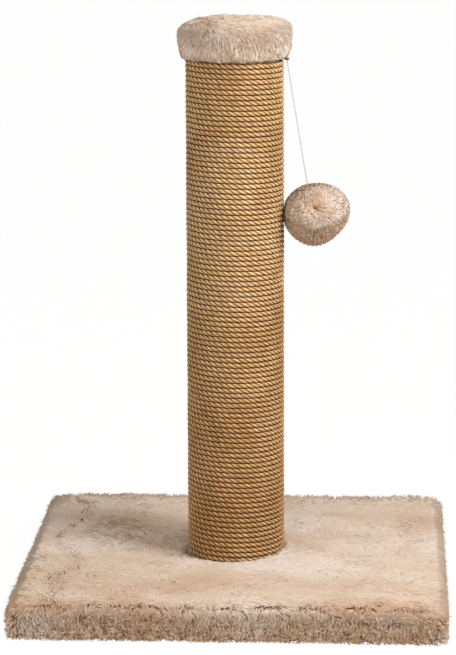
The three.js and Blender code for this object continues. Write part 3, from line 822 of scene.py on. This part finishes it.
# The winding's pieces, each from one turn to another
ROPE_PARTS = {"low": (0, 33), "middle": (33, 66), "high": (66, ROPE_TURNS)}
# One of three strands: full at its crest, with a groove on each side
STRAND_SECTION = (1.0, 0.96, 0.79, 0.96)


def make_rope(material):
    """The rope as three laid strands, wound as one left-handed helix, in three lengths that meet
    at the back."""
    turn_length = 2 * np.pi * ROPE_CENTRE
    steps_per_turn = round(turn_length / ROPE_STEP)
    section = np.tile(STRAND_SECTION, 3)
    groove = min(STRAND_SECTION)
    fixed = np.arange(ROPE_SIDES) * 2 * np.pi / ROPE_SIDES
    for part, (first, last) in ROPE_PARTS.items():
        turn = np.arange(first * steps_per_turn, last * steps_per_turn + 1) / steps_per_turn
        along = turn * turn_length
        angle = ROPE_END_ANGLE - 2 * np.pi * turn
        out = np.stack([np.cos(angle), np.sin(angle), np.zeros(len(angle))], 1)
        path = out * ROPE_CENTRE
        path[:, 2] = ROPE_START + ROPE_THICKNESS * turn
        # Hand-wound turns wander a little, up and down and in and out
        rise = waves(path, 70 * MM, 41)[:, None] * [0, 0, 0.25 * MM]
        path += rise + out * (waves(path, 40 * MM, 42) * 0.12 * MM)[:, None]
        slope = np.full(len(angle), ROPE_THICKNESS / turn_length)
        up = np.cross(unit(np.stack([np.sin(angle), -np.cos(angle), slope], 1)), out)
        twist = 2 * np.pi * along / ROPE_LAY + 0.5 * waves(path, 60 * MM, 43)
        round_angle = twist[:, None] + fixed
        swell = 1 + 0.05 * waves(path, 9 * MM, 44)[:, None] * (section - 0.7)[None] * 2
        reach = ROPE_REACH * section[None] * swell
        rings = path[:, None] + reach[:, :, None] * (
            np.cos(round_angle)[:, :, None] * out[:, None] + np.sin(round_angle)[:, :, None] * up[:, None])
        lay = np.stack(np.broadcast_arrays(
            along[:, None], ROPE_REACH * np.cos(fixed)[None], ROPE_REACH * np.sin(fixed)[None]), 2)
        # Painted shade: the lower turns are painted a little darker, towards the bottom
        crest = (section - groove) / (1 - groove) * (0.82 + 0.18 * smooth(rings[:, :, 2], 50 * MM, 400 * MM))
        name = f"rope_winding_{part}"
        mesh = skin(name, rings, {"lay": lay, "crest": crest, "outward": np.cos(round_angle)})
        add_piece(name, mesh, material, "root", ["rope_winding"])


# ---- Cap

CAP_EDGE = 10 * MM
# Tufts to the square millimetre, their length, and how far they lean over from the skin: laid
# flat on top, standing out at the rim, and what combing adds lower down
CAP_TUFTS = 1.25
CAP_TUFT_LENGTH = 13 * MM
CAP_LAID_LEAN, CAP_RIM_LEAN, CAP_COMBED_LEAN = np.radians((76, 44, 22))
CAP_CLUMP = 4 * MM
# Locks round the hem
LOCK_COUNT = 92


def make_cap_cover(material):
    """The cap's cover: a disc of plush pulled down over the tube's end."""
    angles = ring_angles(96)
    shoulder = CAP_SKIN_REACH - CAP_EDGE
    inside = TUBE_HIGH.z + FIT
    profile = [(0, CAP_SKIN_TOP)]
    profile += [(reach, CAP_SKIN_TOP) for reach in np.linspace(6 * MM, shoulder - 2 * MM, 6)]
    profile += bend((shoulder, CAP_SKIN_TOP - CAP_EDGE), CAP_EDGE, 90, 0, 7)
    side = np.linspace(CAP_SKIN_TOP - CAP_EDGE - 4 * MM, CAP_HEM + 5 * MM, 4)
    profile += [(CAP_SKIN_REACH, height) for height in side]
    profile += bend((CAP_SKIN_REACH - 3 * MM, CAP_HEM + 3.2 * MM), 3 * MM, 0, -90, 4)
    profile += [(CAP_BORE, CAP_HEM + 0.2 * MM), (CAP_BORE, inside), (0.5 * CAP_BORE, inside), (0, inside)]
    rings = np.array([round_ring(angles, *place) for place in profile])
    outer = rings[:, :, 2] > TUBE_HIGH.z + 2 * MM
    # The filled top is slightly domed and uneven
    reach = np.hypot(rings[:, :, 0], rings[:, :, 1])
    rings[:, :, 2] += outer * 2.5 * MM * (1 - (reach / CAP_SKIN_REACH) ** 2)
    rings[:, :, 2] += outer * waves(rings, 60 * MM, 51) * 0.5 * MM
    # Painted shade: between the tufts the cover shows a darker colour, as the shade under the pile
    mesh = skin("cap_cover", rings, {"tip": np.full(outer.shape, 0.3), "shade": np.full(outer.shape, 0.6)})
    piece = add_piece("cap_cover", mesh, material, "root", ["cap_plush"])
    return mesh


def trim_to_cap(ends, rng):
    """Holds the cap's tuft ends to its outline, in place: a rounded rim, a side that is combed in
    towards the rope, and locks that end in points at the hem."""
    count = len(ends)
    reach = np.hypot(ends[:, 0], ends[:, 1])
    # The rim is rounded, more so on the left
    level = CAP_HIGH.z + 3.5 * MM + rng.normal(0, 0.5, count) * MM
    level -= (9 + 5 * (ends[:, 0] < 0)) * MM * (reach / CAP_HIGH.x) ** 4.5
    ends[:, 2] = np.minimum(ends[:, 2], level)
    # Each lock ends at its own height, over the rope
    turned = np.arctan2(ends[:, 1], ends[:, 0])
    lock_width = 2 * np.pi / LOCK_COUNT
    lock = np.round(turned / lock_width)
    off = turned / lock_width - lock
    drop = np.random.default_rng(67).uniform(-1, 1, LOCK_COUNT)[lock.astype(int) % LOCK_COUNT]
    lowest = CAP_HEM + (-1.2 + 1.1 * drop + 4 * np.abs(off)) * MM
    under = ends[:, 2] < lowest
    ends[under, 2] = (lowest + rng.uniform(0, 1, count) ** 2 * 4 * MM)[under]
    near_hem = 1 - smooth(ends[:, 2], CAP_HEM, CAP_HEM + 9 * MM)
    turned -= off * lock_width * 0.6 * near_hem
    # The outline narrows from the rim to the hem
    rise = np.clip((ends[:, 2] - CAP_HEM + 1 * MM) / (17 * MM), 0, 1)
    widest = POST_REACH + 1.4 * MM + (CAP_HIGH.x - POST_REACH - 2.2 * MM) * rise ** 0.8
    widest += rng.normal(0, 0.7, count) * MM
    narrowest = np.where(ends[:, 2] < CAP_HEM + 1 * MM, POST_REACH + 0.6 * MM, 0)
    reach = np.clip(reach, narrowest, np.maximum(widest, narrowest))
    ends[:, 0], ends[:, 1] = reach * np.cos(turned), reach * np.sin(turned)


def make_cap_pile(cover, material):
    """The cap's pile: flat on top, and combed down its side over the end of the rope."""
    def wanted(centres, normals):
        outside = np.hypot(centres[:, 0], centres[:, 1]) > CAP_BORE + 2 * MM
        return (outside | (centres[:, 2] > TUBE_HIGH.z + 3 * MM)) & (normals[:, 2] > -0.6)

    roots, normals = roots_on(cover, CAP_TUFTS, 61, wanted)
    rng = np.random.default_rng(62)
    count = len(roots)
    upright = 1 - smooth(normals[:, 2], 0.3, 0.9)
    turn = 0.5 * waves(roots, 35 * MM, 63)
    sideways = np.stack([np.cos(turn), np.sin(turn), np.zeros(count)], 1)
    # It spills out over the rim at the sides; at front and back it parts along the rim
    near_rim = smooth(np.hypot(roots[:, 0], roots[:, 1]), 20 * MM, 42 * MM)
    sideways += unit(roots * [1, 1, 0]) * near_rim[:, None] * [1.9, 0.7, 0]
    swings = [0.35 * waves(roots, 18 * MM, seed) for seed in (64, 65)]
    hang = np.stack([*swings, np.full(count, -1.0)], 1)
    ways = mixed(sideways, hang, upright[:, None]) + rng.normal(0, 0.15, (count, 3))
    height = (roots[:, 2] - CAP_HEM) / (CAP_SKIN_TOP - CAP_HEM)
    # The rim's pile stands out; lower down it is combed flat
    combed = smooth(1 - height, 0.12, 0.6)
    angle = mixed(CAP_LAID_LEAN, CAP_RIM_LEAN + CAP_COMBED_LEAN * combed, upright)
    angle += np.radians(7) * waves(roots, 22 * MM, 66) + rng.normal(0, 0.07, count)
    lengths = CAP_TUFT_LENGTH * rng.uniform(0.8, 1.12, count)
    # A few stray tufts stand out above the rest
    stray = (rng.uniform(size=count) < 0.02) & (height > 0.7)
    angle *= np.where(stray, rng.uniform(0.65, 1, count), 1)
    ends = roots + lean(normals, ways, angle) * lengths[:, None]
    # Locks are twice as long as they are wide, and drawn together across their length
    pull = (0.15 + 0.4 * upright)[:, None] * [1, 1, 0.3]
    ends = gather(ends * [1, 1, 0.5], CAP_CLUMP, pull, 68) * [1, 1, 2]
    trim_to_cap(ends, rng)
    widths = rng.uniform(0.9, 1.6, count) * MM
    locks = 0.14 * waves(ends * [1, 1, 0.4], 5 * MM, 60) * upright
    # Painted light and shade: the combed side is painted lighter than the laid top, which the light from
    # above reaches more, and shows less of the painted root shade; locks and tufts also vary at random
    shade = 0.78 + 0.12 * upright + 0.12 * waves(roots, 20 * MM, 69) + locks
    shade = np.clip(shade + rng.normal(0, 0.22, count), 0, 1)
    tufts = roots, normals, ends, widths, shade, np.full(count, 0.5), 0.12 + 0.2 * upright
    for name, chosen in (("cap_pile_top", upright < 0.5), ("cap_pile_side", upright >= 0.5)):
        add_pile(name, material, "root", ["cap_plush"], (0.35, 0.7), tufts, chosen)


# ---- Toy: the ball, its string and the knot

# Tufts to the square millimetre, how high they stand, and how far they lean over from the skin:
# laid round the mouth, how much less they lean towards the back, and standing low down
BALL_TUFTS = 1.3
BALL_TUFT_HEIGHT = 5.2 * MM
BALL_TUFT_LONGEST = 13 * MM
BALL_LAID_LEAN, BALL_BACK_LEAN, BALL_STANDING_LEAN, BALL_MOST_LEAN = np.radians((75, 15, 20, 82))
BALL_CLUMP = 4 * MM
# Where the ball is flatter or fuller than round, as (the way there, how much)
BALL_LOBES = (((0.75, 0, -0.66), -0.09), ((-0.45, 0, -0.89), 0.03), ((-0.8, 0, 0.6), -0.03))
# The string's section, one ply of three, and its points
PLY_SECTION = (1.05, 1.01, 0.9, 1.01)
STRING_STEPS = 150
KNOT_SHANK = 0.75 * MM
KNOT_STRAND = 0.45 * MM


def make_ball_cover(material):
    """The ball's skin, drawn in at its gathered mouth."""
    mesh = make_mesh("ball_cover", bmesh.ops.create_icosphere, subdivisions=5, radius=BALL_SKIN)
    points = read_points(mesh)
    turn = np.arccos(np.clip(unit(points) @ MOUTH_AXIS, -1, 1))
    points *= (1 - 0.17 * np.exp(-(turn / 0.17) ** 2))[:, None]
    place = unit(points)
    high = place[:, 2]
    for way, change in BALL_LOBES:
        points *= 1 + change * np.maximum(place @ np.array(way), 0)[:, None] ** 4
    # Fuller above its middle than below
    fuller = 0.09 * high * np.sqrt(np.maximum(1 - high ** 2, 0))
    points *= (1 + fuller + 0.02 * waves(points, 60 * MM, 71))[:, None]
    points[:, 2] *= BALL_FLATNESS
    write_points(mesh, points + BALL_CENTRE)
    shade_smooth(mesh)
    # Painted shade: the skin is darker in the mouth and low down, as the shade in the mouth and between the
    # standing tufts
    above = smooth(high, -0.3, 0.2)
    tip = 0.15 + 0.4 * above - 0.5 * np.exp(-(turn / 0.25) ** 2)
    keep_values(mesh, {"tip": tip, "shade": 0.5 + 0.3 * above})
    mesh.update()
    piece = add_piece("ball_cover", mesh, material, "toy", ["ball_plush"])
    return mesh


def make_ball_pile(cover, material):
    """The ball's pile: it lies away from the gathered mouth, and stands out lower down."""
    roots, normals = roots_on(cover, BALL_TUFTS, 72)
    rng = np.random.default_rng(73)
    count = len(roots)
    place = unit(roots - BALL_CENTRE)
    turn = np.arccos(np.clip(place @ MOUTH_AXIS, -1, 1))
    away = place - MOUTH_AXIS * (place @ MOUTH_AXIS)[:, None]
    swings = np.stack([waves(roots, 24 * MM, seed) for seed in (74, 75, 76)], 1)
    ways = unit(away) + rng.normal(0, 0.15, (count, 3)) + 0.22 * swings
    low = smooth(-place[:, 2], -0.15, 0.5)
    stands = np.maximum(low, smooth(turn, 1.5, 2.6))
    stands = np.clip(stands + 0.15 * waves(roots, 20 * MM, 70), 0, 1)
    laid = BALL_LAID_LEAN - BALL_BACK_LEAN * smooth(turn, 0.8, 1.5)
    angle = mixed(laid, BALL_STANDING_LEAN, stands) + np.radians(5) * waves(roots, 12 * MM, 77)
    angle = np.clip(angle + rng.normal(0, 0.06, count), 0, BALL_MOST_LEAN)
    lengths = BALL_TUFT_HEIGHT / np.cos(angle) ** 0.75 * rng.uniform(0.85, 1.1, count)
    lengths = np.minimum(lengths, BALL_TUFT_LONGEST) * (0.6 + 0.4 * smooth(turn, 0.1, 0.4))
    ends = roots + lean(normals, ways, angle) * lengths[:, None]
    # Clumps draw together round the ball, not in towards it
    high = np.linalg.norm(ends - BALL_CENTRE, axis=1, keepdims=True)
    ends = gather(ends, BALL_CLUMP, 0.16 * (1 - stands)[:, None], 78)
    ends = gather(ends, BALL_CLUMP, 0.5 * stands[:, None], 80)
    ends = BALL_CENTRE + unit(ends - BALL_CENTRE) * high
    # Pressed against the rope, into the grooves between its turns
    keep_off_rope(ends, 0.3 * MM)
    widths = mixed(rng.uniform(1.1, 1.9, count), rng.uniform(0.8, 1.3, count), stands) * MM
    # Painted shade: darker low down and round the mouth, as shade under the ball and in the mouth; clumps
    # and tufts also vary at random
    shade = 0.88 - 0.66 * low + 0.34 * stands * waves(ends, 6 * MM, 81)
    shade += 0.15 * waves(roots, 15 * MM, 79) - 0.55 * np.exp(-(turn / 0.3) ** 2)
    shade = np.clip(shade + rng.normal(0, 0.14 + 0.2 * stands, count), 0, 1)
    # Less painted root shade on the closed top, and all of it where the tufts stand low down
    dense = (0.42 + 0.24 * smooth(place[:, 2], 0.2, 0.8)) * (1 - stands)
    tufts = roots, normals, ends, widths, shade, np.full(count, 0.5), dense
    add_pile("ball_pile", material, "toy", ["ball_plush"], (0.35, 0.7), tufts)


def make_string(material):
    """The cotton string: three fine plies, hanging straight with the ball's weight on it."""
    start, end = np.array(STRING_FROM), np.array(STRING_TO)
    share = np.linspace(0, 1, STRING_STEPS + 1)[:, None]
    path = start + (end - start) * share
    ahead = unit(end - start)
    side = unit(np.cross(ahead, [0, 1, 0]))
    other = np.cross(ahead, side)
    length = float(np.linalg.norm(end - start))
    section = np.tile(PLY_SECTION, 3)
    turn = share * length * 2 * np.pi / STRING_LAY + np.arange(len(section)) * 2 * np.pi / len(section)
    rings = path[:, None] + STRING_THICKNESS / 2 * section[None, :, None] * (
        np.cos(turn)[:, :, None] * side + np.sin(turn)[:, :, None] * other)
    mesh = skin("toy_string_plies", rings, {})
    piece = add_piece("toy_string_plies", mesh, material, "toy", ["toy_string"])


def make_knot(material):
    """The string's knotted end: a stopper in the tube, the string through its wall, and the knot
    that shows, with its strands wound round it."""
    low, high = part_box("string_knot")
    knot = (high.z - low.z) / 2
    inside, outside = low.x + knot, high.x - knot
    profile = [(0, inside - knot)] + bend((0, inside), knot, -75, 65, 7)
    profile += [(KNOT_SHANK, height) for height in np.linspace(inside + knot, outside - knot, 9)]
    profile += bend((0, outside), knot, -65, 75, 9) + [(0, outside + knot)]
    angles = ring_angles(32)
    rings = np.array([round_ring(angles, *place) for place in profile])
    # Wound strands stand out as slanting ridges
    slant = np.cos(3 * angles[None] + rings[:, :, 2] / KNOT_STRAND)
    thick = np.hypot(rings[:, :, 0], rings[:, :, 1])
    rings[:, :, :2] *= (1 - 0.1 * (0.5 - 0.5 * slant) * (thick > 1.2 * MM))[:, :, None]
    rings = rings[:, :, [2, 1, 0]] * [1, 1, -1]
    rings[:, :, 2] += KNOT_AT.z
    mesh = skin("string_knot_wound", rings, {})
    add_piece("string_knot_wound", mesh, material, "string_knot", ["string_knot"])


# ---- Everything together

# What the CAD nodes that stay are made of, staples apart
NODE_FINISHES = {
    "underside_lining": "needle_felt_lining",
    "base_board": "chipboard",
    "post_tube": "wound_cardboard",
    "bottom_plug": "poplar_plywood",
    "top_plug": "poplar_plywood",
    "base_bolt": "zinc_plated_steel",
    "bolt_washer": "zinc_plated_steel",
    "tee_nut": "zinc_plated_steel",
    "ball_stuffing": "polyester_fill",
    "gather_thread": "cotton_thread",
}


def paint_nodes():
    """The CAD nodes that stay get their real materials."""
    materials = {name: plain_material(name) for name in dict.fromkeys(NODE_FINISHES.values())}
    for name, node_object in frame["nodes"].items():
        finish = "zinc_plated_steel" if "staple" in name else NODE_FINISHES.get(name)
        if finish:
            node_object.data.materials.clear()
            node_object.data.materials.append(materials[finish])


make_camera()
make_studio()
make_string(plain_material("twisted_cotton_string"))
make_knot(plain_material("waxed_knot_thread"))
base_plush = plush_material("polyester_plush_base", "#e2d4c5", "#eae0d6")
make_base_pile(make_base_cover(base_plush), base_plush)
make_rope(jute_material())
cap_plush = plush_material("polyester_plush_cap", "#dbcfc3", "#e6ddd5")
make_cap_pile(make_cap_cover(cap_plush), cap_plush)
ball_plush = plush_material("polyester_plush_ball", "#ddcfc0", "#e7ddd5")
make_ball_pile(make_ball_cover(ball_plush), ball_plush)
paint_nodes()
